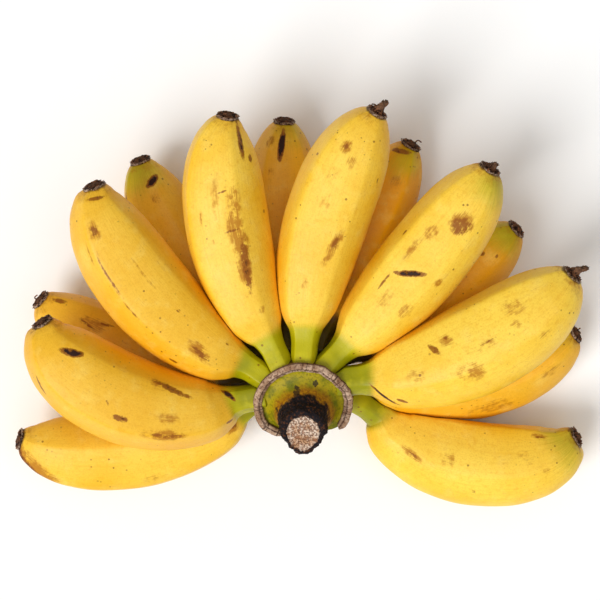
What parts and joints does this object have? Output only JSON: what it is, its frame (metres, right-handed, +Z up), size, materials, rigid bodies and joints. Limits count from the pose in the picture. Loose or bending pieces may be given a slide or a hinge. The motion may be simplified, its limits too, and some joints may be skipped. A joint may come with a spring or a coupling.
{
  "type": "hand of apple bananas",
  "caption": "Hand of short, plump bananas in two rows round one crown, with a corky scar, a cut stub and dried flower ends; lies flat with the stub up.",
  "frame": {"origin": "under the middle of the hand's bounding box, on the table that it lies on", "axes": "+Z up; +X across the hand, from the first finger of each row to the last; +Y from the crown's open side towards the tips of the middle fingers"},
  "size_m": [0.2506, 0.172, 0.0753],
  "materials": {
    "peel": "smooth, waxy ripe banana peel: warm golden yellow, green at the neck and the tip, with brown scratches and freckles",
    "stalk": "olive green crown tissue with an orange-brown edge and a corky, charred and pale-faced cut stub",
    "dried_flower": "dry, matt, grey-brown withered flower remains"
  },
  "bodies": {
    "root": {"crown": "stalk", "finger_upper_1": "peel", "finger_upper_2": "peel", "finger_upper_3": "peel", "finger_upper_4": "peel", "finger_upper_5": "peel", "finger_upper_6": "peel", "finger_lower_1": "peel", "finger_lower_2": "peel", "finger_lower_3": "peel", "finger_lower_4": "peel", "finger_lower_5": "peel", "finger_lower_6": "peel", "finger_lower_7": "peel", "finger_lower_8": "peel", "blossom_upper_1": "dried_flower", "blossom_upper_2": "dried_flower", "blossom_upper_3": "dried_flower", "blossom_upper_4": "dried_flower", "blossom_upper_5": "dried_flower", "blossom_upper_6": "dried_flower", "blossom_lower_1": "dried_flower", "blossom_lower_2": "dried_flower", "blossom_lower_3": "dried_flower", "blossom_lower_4": "dried_flower", "blossom_lower_5": "dried_flower", "blossom_lower_6": "dried_flower", "blossom_lower_7": "dried_flower", "blossom_lower_8": "dried_flower"}
  },
  "joints": []
}
